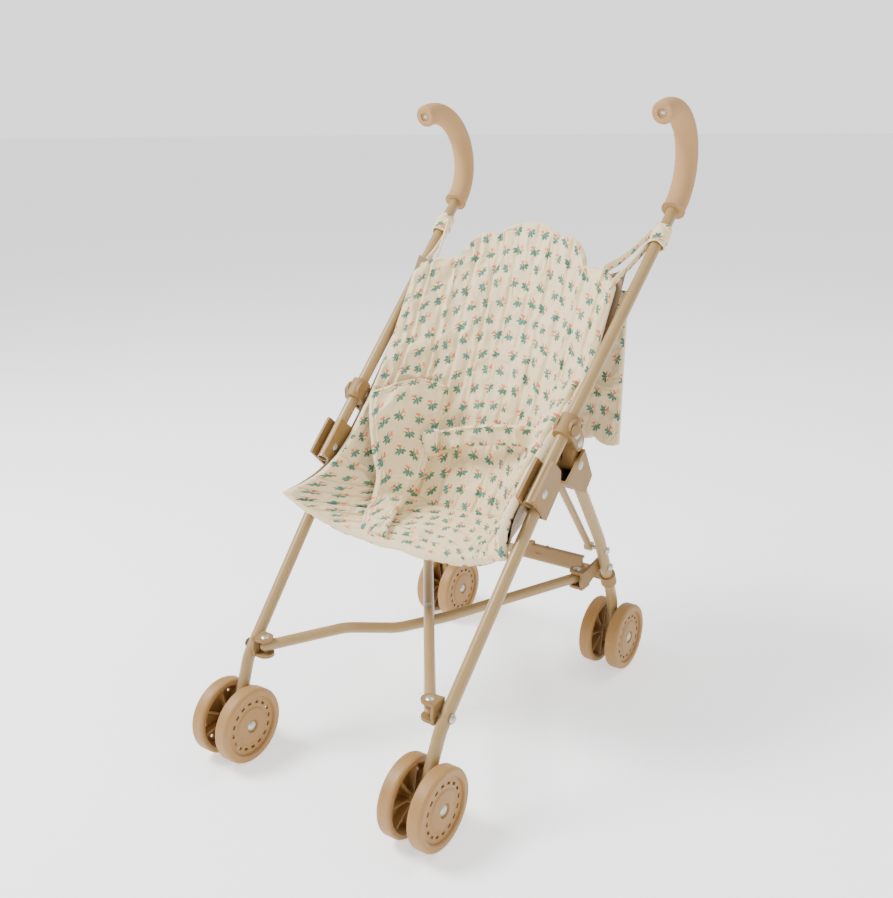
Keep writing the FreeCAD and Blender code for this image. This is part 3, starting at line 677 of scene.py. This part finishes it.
# ------------------------------------------------------------------ soft goods
@dataclass
class SeatCover:
    """The quilted seat cover: scalloped back, side wings and seat in one hammock-like panel.

    Each key row holds: parameter, middle y, middle z, side x, side y, side z, exponent (mm).
    """

    channel: float = 21.0
    seat_from: float = 0.735
    columns: int = 150
    rows: int = 210
    loft: float = 4.2
    keys: Tuple[Tuple[float, ...], ...] = (
        (0.00, 176.0, 462.0, 107.0, 132.0, 424.0, 1.9),
        (0.18, 152.0, 396.0, 108.0, 106.0, 380.0, 2.0),
        (0.38, 120.0, 320.0, 107.0, 72.0, 330.0, 2.2),
        (0.56, 86.0, 248.0, 102.0, 26.0, 282.0, 2.5),
        (0.68, 61.0, 203.0, 99.5, -6.0, 254.0, 2.9),
        (0.73, 47.0, 184.5, 99.0, -20.0, 245.0, 3.3),
        (0.78, 27.0, 180.5, 99.5, -36.0, 237.0, 3.6),
        (0.88, -14.0, 181.0, 102.0, -62.0, 229.0, 3.8),
        (1.00, -58.0, 184.5, 107.0, -88.0, 225.0, 3.9),
    )
    near_back: float = 15.0
    near_front: Vec = (-4.0, 47.0, -28.0)

    def top_height(self, x: np.ndarray) -> np.ndarray:
        """Height of the scalloped top edge in mm at a distance x from the middle."""
        a = np.abs(x)
        middle = 434.0 + 14.0 * np.clip(1.0 - (a / 34.0) ** 2, 0.0, 1.0) ** 0.6
        s = np.clip((a - 34.0) / 34.0, 0.0, 1.0)
        lobe = 433.0 - 15.0 * s ** 1.6 + 8.0 * np.sin(math.pi * np.clip(s, 0, 1)) ** 0.7
        outer = 413.0 - 2.0 * (a - 68.0) / 40.0 - 14.0 * np.clip((a - 88.0) / 20.0, 0.0, 1.0) ** 2
        return np.where(a < 34.0, middle, np.where(a < 68.0, lobe, outer))

    def surface(self, u: np.ndarray, v: np.ndarray) -> np.ndarray:
        """Points of the panel in mm; u runs -1..1 across and v 0..1 down."""
        row = smooth_rows(np.array(self.keys), v)
        y0, z0, xs, ys, zs, power = (row[..., i] for i in range(6))
        bend = np.abs(u) ** power
        points = np.stack([xs * u, y0 + (ys - y0) * bend, z0 + (zs - z0) * bend], -1)
        near = np.clip(u, 0.0, 1.0) ** 3
        low = np.clip((v - 0.72) / 0.28, 0.0, 1.0) ** 2
        high = np.clip((0.66 - v) / 0.16, 0.0, 1.0)
        points[..., 1] += near * high * self.near_back
        return points + (near * low)[..., None] * np.array(self.near_front)

    def on_cover(self, u: float, v: float, lift: float) -> Vec:
        """Point in mm at a height above the cover's middle surface."""
        grid_u, grid_v = np.meshgrid([u - 0.01, u, u + 0.01], [v - 0.01, v, v + 0.01])
        points = self.surface(grid_u, grid_v)
        return tuple(points[1, 1] + grid_normals(points)[1, 1] * lift)

    def build(self, finishes: Finishes) -> bpy.types.Object:
        """Make the cover.

        Args:
            finishes: The materials.

        Returns:
            The finished piece.
        """
        u = np.linspace(-1.0, 1.0, self.columns)
        dense = np.linspace(0.0, 0.6, 400)
        start = np.empty(self.columns)
        for i, value in enumerate(u):
            path = self.surface(np.full_like(dense, value), dense)
            start[i] = dense[np.argmax(path[:, 2] <= self.top_height(path[:, 0]))]
        t = np.linspace(0.0, 1.0, self.rows)[:, None]
        v = start[None, :] + (1.0 - start[None, :]) * t
        points = self.surface(np.broadcast_to(u[None, :], v.shape), v)
        down = np.linspace(0, 1, self.rows)[:, None] + 0 * v
        full = self.surface(np.broadcast_to(u[None, :], v.shape), down)
        down = arc_lengths(points, 0)
        total = arc_lengths(full, 0)[-1]
        down = total[None, :] - (down[-1][None, :] - down)
        across = arc_lengths(points, 1)
        across = across - across[:, [self.columns // 2]]
        seam = self.seams(points, v, down)
        points = self.ripple(points, u, v)
        sheet = QuiltSheet("seat_cover", points * MM, seam, self.loft * MM, 2.6 * MM,
                           np.stack([across, down], -1) * MM)
        piece = sheet.build([finishes.print, finishes.binding])
        puff_up(piece, Puff(pressure=4.0, frames=12, shrink=-0.04, cap=0.005))
        soft_object(piece)
        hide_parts("seat_back_pad", "seat_base_pad")
        return piece

    def seams(self, points: np.ndarray, v: np.ndarray, down: np.ndarray) -> np.ndarray:
        """Stitched lines: upright channels on the back, lines across on the seat."""
        x = points[..., 0]
        step = np.abs(x / self.channel - 0.5 - np.round(x / self.channel - 0.5))
        upright = np.clip(1.0 - step * self.channel / 2.2, 0.0, 1.0)
        front = down[-1].max()
        depth = (front - down) / 23.0
        lines = np.abs(depth - np.round(depth)) * 23.0
        level = np.clip(1.0 - lines / 2.0, 0.0, 1.0)
        on_seat = v > self.seat_from
        seam = np.where(on_seat, level, upright)
        crease = np.clip(1.0 - np.abs(v - self.seat_from) / 0.006, 0.0, 1.0)
        edge = np.minimum(np.minimum(down - down[0][None, :], front - down), 107.0 - np.abs(x))
        hem = np.clip(1.0 - edge / 3.0, 0.0, 1.0)
        return np.maximum(np.maximum(seam, crease), hem)

    def ripple(self, points: np.ndarray, u: np.ndarray, v: np.ndarray) -> np.ndarray:
        """Soft sags and drapes of the cloth, in mm."""
        wave = (1.2 * np.sin(5.0 * u[None, :] + 7.0 * v) * np.sin(9.0 * v + 1.0)
                + 0.5 * np.sin(17.0 * u[None, :] - 11.0 * v) * np.cos(6.0 * v))
        return points + grid_normals(points) * wave[..., None]


def panel_between(rows: Sequence[Sequence[Vec]], count: Tuple[int, int]) -> np.ndarray:
    """Smooth grid through key rows of points.

    Args:
        rows: Key rows from top to bottom, each with the same number of points across.
        count: Rows and columns of the result.

    Returns:
        Grid of points in mm.
    """
    keys = np.array(rows, dtype=float)
    n_rows, n_cols = keys.shape[:2]
    down = np.linspace(0.0, n_rows - 1.0, count[0])
    across = np.linspace(0.0, n_cols - 1.0, count[1])
    flat = np.concatenate([np.arange(n_rows)[:, None], keys.reshape(n_rows, -1)], 1)
    first = smooth_rows(flat, down).reshape(count[0], n_cols, 3)
    second = np.concatenate([np.arange(n_cols)[:, None], first.transpose(1, 0, 2).reshape(n_cols, -1)], 1)
    return smooth_rows(second, across).reshape(count[1], count[0], 3).transpose(1, 0, 2)


def flat_of(points: np.ndarray, shift: Tuple[float, float] = (0.0, 0.0)) -> np.ndarray:
    """Flat coordinates of a grid by arc length, with an offset in mm so that prints differ."""
    across = arc_lengths(points, 1)
    across = across - across[:, [points.shape[1] // 2]]
    down = arc_lengths(points, 0)
    return np.stack([across + shift[0], down + shift[1]], -1)


def edge_seams(flat: np.ndarray, border: float, width: float) -> np.ndarray:
    """Seam mask of a panel: a line of stitches inside its border, and the border itself."""
    across = flat[..., 0] - flat[..., 0].min()
    down = flat[..., 1] - flat[..., 1].min()
    right = flat[..., 0].max(axis=1, keepdims=True) - flat[..., 0]
    left = flat[..., 0] - flat[..., 0].min(axis=1, keepdims=True)
    bottom = flat[..., 1].max(axis=0, keepdims=True) - flat[..., 1]
    edge = np.minimum(np.minimum(left, right), np.minimum(down, bottom))
    outer = np.clip(1.0 - edge / 1.6, 0.0, 1.0)
    stitch = np.clip(1.0 - np.abs(edge - border) / width, 0.0, 1.0) if border > 0 else 0.0 * across
    return np.maximum(outer, stitch)


@dataclass
class HarnessPanel:
    """Padded side panel with the strap that runs from it to the seat's front edge.

    The right panel is pulled inward by the belt; the left one lies along the side of the seat.
    """

    side: Side
    right_rows: Tuple[Tuple[Vec, ...], ...] = (
        ((-93.0, 24.0, 296.0), (-66.0, 62.0, 304.0), (-43.0, 84.0, 295.0)),
        ((-88.0, 15.0, 281.0), (-66.0, 44.0, 284.0), (-41.0, 76.0, 277.0)),
        ((-82.0, 8.0, 261.0), (-64.0, 32.0, 263.0), (-44.0, 62.0, 254.0)),
        ((-75.0, 3.0, 238.0), (-61.0, 26.0, 240.0), (-45.0, 52.0, 233.0)),
        ((-69.5, 0.0, 222.0), (-57.0, 16.0, 219.0), (-45.0, 38.0, 213.0)),
        ((-66.0, -12.0, 204.5), (-57.0, 2.0, 201.0), (-47.0, 20.0, 198.0)),
        ((-60.0, -32.0, 195.0), (-48.0, -24.0, 193.5), (-37.0, -16.0, 192.5)),
        ((-47.0, -54.0, 192.0), (-32.0, -54.0, 190.5), (-18.0, -52.0, 190.0)),
    )
    left_rows: Tuple[Vec, ...] = (
        (0.72, 0.42, 5.0), (0.70, 0.50, 6.0), (0.70, 0.58, 7.0), (0.69, 0.66, 8.0),
        (0.68, 0.735, 8.0), (0.68, 0.82, 6.0), (0.69, 0.90, 5.0), (0.70, 0.985, 4.5),
    )
    left_width: Tuple[float, ...] = (0.26, 0.26, 0.25, 0.22, 0.14, 0.11, 0.11, 0.12)

    def build(self, finishes: Finishes, cover: SeatCover) -> bpy.types.Object:
        """Make the panel.

        Args:
            finishes: The materials.
            cover: The seat cover that it lies on.

        Returns:
            The finished piece.
        """
        if self.side is Side.RIGHT:
            rows = self.right_rows
        else:
            rows = [[cover.on_cover(u + share * width, v, lift) for share in (0.0, 0.5, 1.0)]
                    for (u, v, lift), width in zip(self.left_rows, self.left_width)]
        points = panel_between(rows, (120, 34))
        flat = flat_of(points, (7.0 * self.side.value, 4.0))
        seam = edge_seams(flat, 5.0, 1.2)
        name = "harness_panel_soft_" + self.side.word
        piece = QuiltSheet(name, points * MM, seam, 2.2 * MM, 3.0 * MM, flat * MM).build([finishes.print])
        puff_up(piece, Puff(pressure=3.0, frames=10, shrink=-0.06, cap=0.004))
        soft_object(piece)
        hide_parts("harness_panel_" + self.side.word, "side_wing_" + self.side.word)
        return piece


@dataclass
class WaistBelt:
    """Padded belt across the seat, from panel to panel (mm)."""

    width: float = 21.0
    path: Tuple[Vec, ...] = (
        (-48.0, 60.0, 243.0), (-34.0, 62.0, 247.5), (-10.0, 61.0, 255.0), (18.0, 62.0, 261.0),
        (46.0, 64.0, 264.5), (68.0, 66.0, 264.0), (84.0, 58.0, 264.0), (92.0, 44.0, 262.0),
    )

    def build(self, finishes: Finishes) -> bpy.types.Object:
        """Make the belt.

        Args:
            finishes: The materials.

        Returns:
            The finished piece.
        """
        rows = [[(x, y - 2.0 * lift, z + self.width * lift) for x, y, z in self.path]
                for lift in (0.5, 0.0, -0.5)]
        points = panel_between(rows, (26, 150))
        flat = flat_of(points, (3.0, 40.0))
        seam = edge_seams(flat, 0.0, 1.0)
        sheet = QuiltSheet("waist_belt_soft", points * MM, seam, 2.0 * MM, 2.6 * MM, flat * MM)
        piece = sheet.build([finishes.print])
        puff_up(piece, Puff(pressure=3.0, frames=10, shrink=-0.05, cap=0.003))
        soft_object(piece)
        loop = self.loop(finishes)
        loop.parent = piece
        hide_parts("waist_belt")
        return piece

    def loop(self, finishes: Finishes) -> bpy.types.Object:
        """Folded loop that holds the belt's right end to the panel."""
        rows = [[(-49.5, 49.0, 257.0), (-42.0, 52.0, 259.5), (-34.0, 55.0, 260.0)],
                [(-50.0, 47.0, 244.5), (-42.5, 50.0, 246.0), (-34.5, 53.5, 247.0)],
                [(-48.5, 48.0, 231.0), (-42.0, 51.0, 232.5), (-35.0, 55.0, 234.0)]]
        points = panel_between(rows, (40, 24))
        flat = flat_of(points, (61.0, 9.0))
        seam = edge_seams(flat, 3.0, 0.8)
        sheet = QuiltSheet("belt_loop", points * MM, seam, 1.2 * MM, 2.4 * MM, flat * MM)
        piece = sheet.build([finishes.print])
        soft_object(piece)
        return piece


@dataclass
class BackFlap:
    """Quilted flap that hangs behind the seat, with a scalloped lower hem (mm)."""

    half_width: float = 112.0
    top: float = 392.0
    low: float = 244.0
    scallop: float = 28.0

    def build(self, finishes: Finishes) -> bpy.types.Object:
        """Make the flap.

        Args:
            finishes: The materials.

        Returns:
            The finished piece.
        """
        u = np.linspace(-1.0, 1.0, 150)[None, :]
        t = np.linspace(0.0, 1.0, 90)[:, None]
        x = self.half_width * u + 0.0 * t
        notch = 1.0 - np.abs(np.sin(math.pi * x / self.scallop)) ** 0.7
        edge = self.low + 5.0 * notch - 3.0 * np.abs(u) ** 6
        z = self.top + (edge - self.top) * t
        y = 163.0 - 13.0 * np.abs(u) ** 2.5 - 5.0 * t + 2.2 * np.sin(x / 17.0) * t ** 2
        points = np.stack([x, y, z], -1)
        flat = flat_of(points, (5.0, 13.0))
        step = np.abs(x / 28.0 - np.round(x / 28.0)) * 28.0
        seam = np.clip(1.0 - step / 2.0, 0.0, 1.0)
        seam = np.maximum(seam, edge_seams(flat, 0.0, 1.0))
        sheet = QuiltSheet("back_flap_soft", points * MM, seam, 1.8 * MM, 2.2 * MM, flat * MM)
        piece = sheet.build([finishes.print, finishes.binding], back_loft=0.8)
        puff_up(piece, Puff(pressure=2.5, frames=10, shrink=-0.05, cap=0.003))
        soft_object(piece)
        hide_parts("back_flap")
        return piece


@dataclass
class Sling:
    """Plain tan sling that carries the cover, behind and below it (mm)."""

    gap: float = 7.0

    def build(self, finishes: Finishes, cover: SeatCover) -> bpy.types.Object:
        """Make the sling.

        Args:
            finishes: The materials.
            cover: The seat cover, whose shape the sling follows.

        Returns:
            The finished piece.
        """
        u = np.linspace(-1.0, 1.0, 80)[None, :]
        start = 0.135 - 0.105 * np.abs(u) ** 5
        v = start + (0.965 - start) * np.linspace(0.0, 1.0, 120)[:, None]
        points = cover.surface(u + 0 * v, v)
        points = points - grid_normals(points) * self.gap
        widen = np.clip(1.0 - v / 0.35, 0.0, 1.0)
        points[..., 0] *= 1.0 + 0.03 * widen
        flat = flat_of(points)
        seam = edge_seams(flat, 6.0, 1.0)
        sheet = QuiltSheet("seat_sling_soft", points * MM, seam, 0.35 * MM, 1.4 * MM, flat * MM)
        piece = sheet.build([finishes.plain])
        soft_object(piece)
        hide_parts("seat_sling")
        return piece


@dataclass
class TieStrap:
    """Tied cuff round a handle tube, with two straps down to the cover's corner (mm)."""

    side: Side

    def build(self, finishes: Finishes) -> bpy.types.Object:
        """Make the cuff and its straps.

        Args:
            finishes: The materials.

        Returns:
            The cuff, which carries the straps.
        """
        sign = self.side.value
        lean = math.radians(2.87)
        way = Vector((math.sin(lean) * 0.6754, 0.7375, math.cos(lean) * 0.6754))
        mid_z = 437.0
        centre = Vector((100.5 + 0.05014 * mid_z, -26.17 + 1.0934 * (mid_z - 238.9), mid_z))
        side_way = way.cross(Vector((1, 0, 0))).normalized()
        other = way.cross(side_way).normalized()
        turns = np.linspace(0.0, 2.0 * math.pi, 49)
        lift = np.linspace(-11.0, 11.0, 16)
        points = np.empty((16, 49, 3))
        for i, h in enumerate(lift):
            for j, a in enumerate(turns):
                r = 7.6 + 0.7 * math.sin(4.0 * a + 0.7 * i) + 0.5 * math.sin(1.5 * i)
                p = centre + way * h + (side_way * math.cos(a) + other * math.sin(a)) * r
                points[i, j] = (sign * p.x, p.y, p.z)
        if sign > 0:
            points = points[:, ::-1]
        flat = flat_of(points, (11.0, 3.0))
        seam = edge_seams(flat, 0.0, 1.0)
        cuff = QuiltSheet("tie_cuff_soft_" + self.side.word, points * MM, seam, 0.4 * MM, 1.2 * MM,
                          flat * MM).build([finishes.print])
        soft_object(cuff)
        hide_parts("tie_cuff_" + self.side.word)
        for number, (end, width) in enumerate((((92.0, 134.0, 411.0), 11.0), ((106.0, 124.0, 400.0), 11.0))):
            strap = self.strap(number, centre, end, width, finishes)
            strap.parent = cuff
        return cuff

    def strap(self, number: int, start: Vector, end: Vec, width: float,
              finishes: Finishes) -> bpy.types.Object:
        """One flat strap from the cuff to the cover.

        Args:
            number: Which of the straps it is.
            start: Middle of the cuff.
            end: Where it is sewn on.
            width: Width of the strap.
            finishes: The materials.

        Returns:
            The strap.
        """
        sign = self.side.value
        first = np.array(start) + np.array([-7.5, -3.0, 4.0 - 9.0 * number])
        last = np.array(end)
        middle = 0.5 * (first + last) + np.array([-1.0, -3.0, -5.0 + 2.0 * number])
        cross = np.array([0.0, 0.55, 0.84]) * width * 0.5
        rows = []
        for lift in (1.0, 0.0, -1.0):
            rows.append([tuple(p * np.array([sign, 1, 1]) + cross * lift) for p in (first, middle, last)])
        if sign < 0:
            rows = [row[::-1] for row in rows]
        points = panel_between(rows, (9, 46))
        flat = flat_of(points, (9.0 * number, 17.0))
        seam = edge_seams(flat, 0.0, 1.0)
        name = "tie_strap_%s_%d" % (self.side.word, number + 1)
        piece = QuiltSheet(name, points * MM, seam, 0.7 * MM, 1.4 * MM, flat * MM).build([finishes.print])
        soft_object(piece)
        return piece


# ------------------------------------------------------------------ studio
@dataclass(frozen=True)
class Camera:
    """Pinhole camera of the studio: places in metres, turns in degrees, shifts as shares of the sensor."""

    place: Vec = (0.49748, -0.72239, 0.53448)
    forward: Vec = (-0.54277, 0.78158, -0.30745)
    roll: float = -0.48
    sensor_mm: float = 36.0
    lens_mm: float = 40.32524
    shift: Tuple[float, float] = (-0.0012318, 0.0034490)

    def build(self) -> bpy.types.Object:
        """Make the camera and use it for the scene."""
        data = bpy.data.cameras.new("studio_camera")
        data.sensor_fit = "HORIZONTAL"
        data.sensor_width = self.sensor_mm
        data.lens = self.lens_mm
        data.shift_x, data.shift_y = self.shift
        made = bpy.data.objects.new("studio_camera", data)
        bpy.context.scene.collection.objects.link(made)
        made.location = self.place
        made.rotation_mode = "QUATERNION"
        level = Vector(self.forward).to_track_quat("-Z", "Y")
        made.rotation_quaternion = level @ Quaternion((0.0, 0.0, 1.0), math.radians(self.roll))
        bpy.context.scene.camera = made
        return made


class Studio:
    """Pale floor and soft light."""

    def build(self) -> None:
        """Make the floor, the lights and the world."""
        self.floor()
        self.lamp("key_light", (-1.0, -0.7, 1.7), 0.7, 66.0)
        self.lamp("fill_light", (1.7, -1.0, 1.1), 1.4, 9.0)
        self.lamp("top_light", (0.5, 0.9, 2.0), 1.2, 20.0)
        world = bpy.data.worlds.new("studio_world")
        world.use_nodes = True
        graph = Graph(world.node_tree)
        back = world.node_tree.nodes["Background"]
        back.inputs["Color"].default_value = (1.0, 1.0, 1.0, 1.0)
        split = graph.node("ShaderNodeSeparateXYZ")
        graph.link(graph.node("ShaderNodeTexCoord").outputs["Generated"], split.inputs[0])
        graph.link(graph.ramp(split.outputs["Z"], 0.12, 0.34, 1.70, 0.62), back.inputs["Strength"])
        bpy.context.scene.world = world

    def floor(self) -> None:
        """Wide plain floor with a faint variation of tone."""
        mesh = bpy.data.meshes.new("studio_floor")
        half = 80.0
        corners = [(-half, -half, 0), (half, -half, 0), (half, half, 0), (-half, half, 0)]
        mesh.from_pydata(corners, [], [(0, 1, 2, 3)])
        floor = bpy.data.objects.new("studio_floor", mesh)
        bpy.context.scene.collection.objects.link(floor)
        material = bpy.data.materials.new("pale_floor")
        material.use_nodes = True
        graph = Graph(material.node_tree)
        shader = material.node_tree.nodes["Principled BSDF"]
        place = graph.node("ShaderNodeTexCoord").outputs["Object"]
        tone = graph.mix(graph.noise(place, 3.0), (0.93, 0.93, 0.93, 1.0), (0.96, 0.96, 0.96, 1.0))
        graph.link(tone, shader.inputs["Base Color"])
        shader.inputs["Roughness"].default_value = 0.75
        shader.inputs["Specular IOR Level"].default_value = 0.2
        graph.link(tone, shader.inputs["Emission Color"])
        shader.inputs["Emission Strength"].default_value = 0.9
        mesh.materials.append(material)

    def lamp(self, name: str, place: Vec, size: float, power: float) -> None:
        """Soft square lamp aimed at the stroller.

        Args:
            name: Name of the lamp.
            place: Where it stands.
            size: Side of the square.
            power: Power in watts.
        """
        data = bpy.data.lights.new(name, "AREA")
        data.size = size
        data.energy = power
        made = bpy.data.objects.new(name, data)
        bpy.context.scene.collection.objects.link(made)
        made.location = place
        aim = Vector((0.0, 0.0, 0.25)) - Vector(place)
        made.rotation_mode = "QUATERNION"
        made.rotation_quaternion = aim.to_track_quat("-Z", "Y")


def fold_softly(piece: bpy.types.Object, body: str = LEFT) -> None:
    """Let a piece ride on a frame side as the stroller folds, and give it and its children their own meshes.
    """
    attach(piece, body)
    for part in (piece, *piece.children):
        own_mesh(part)


def main() -> None:
    """Dress the frame, make the soft goods and set up the studio."""
    logging.basicConfig(level=logging.INFO, format="%(name)s: %(message)s")
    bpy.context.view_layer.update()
    finishes = Finishes()
    dress_nodes(finishes)
    cover = SeatCover()
    cover_piece = cover.build(finishes)
    fold_softly(cover_piece)
    sling = Sling().build(finishes, cover)
    fold_softly(sling)
    flap = BackFlap().build(finishes)
    fold_softly(flap)
    belt = WaistBelt().build(finishes)
    fold_softly(belt)
    for side in Side:
        panel = HarnessPanel(side).build(finishes, cover)
        fold_softly(panel)
        cuff = TieStrap(side).build(finishes)
        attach(cuff, side.body)
    Studio().build()
    Camera().build()


if __name__ == "__main__":
    main()
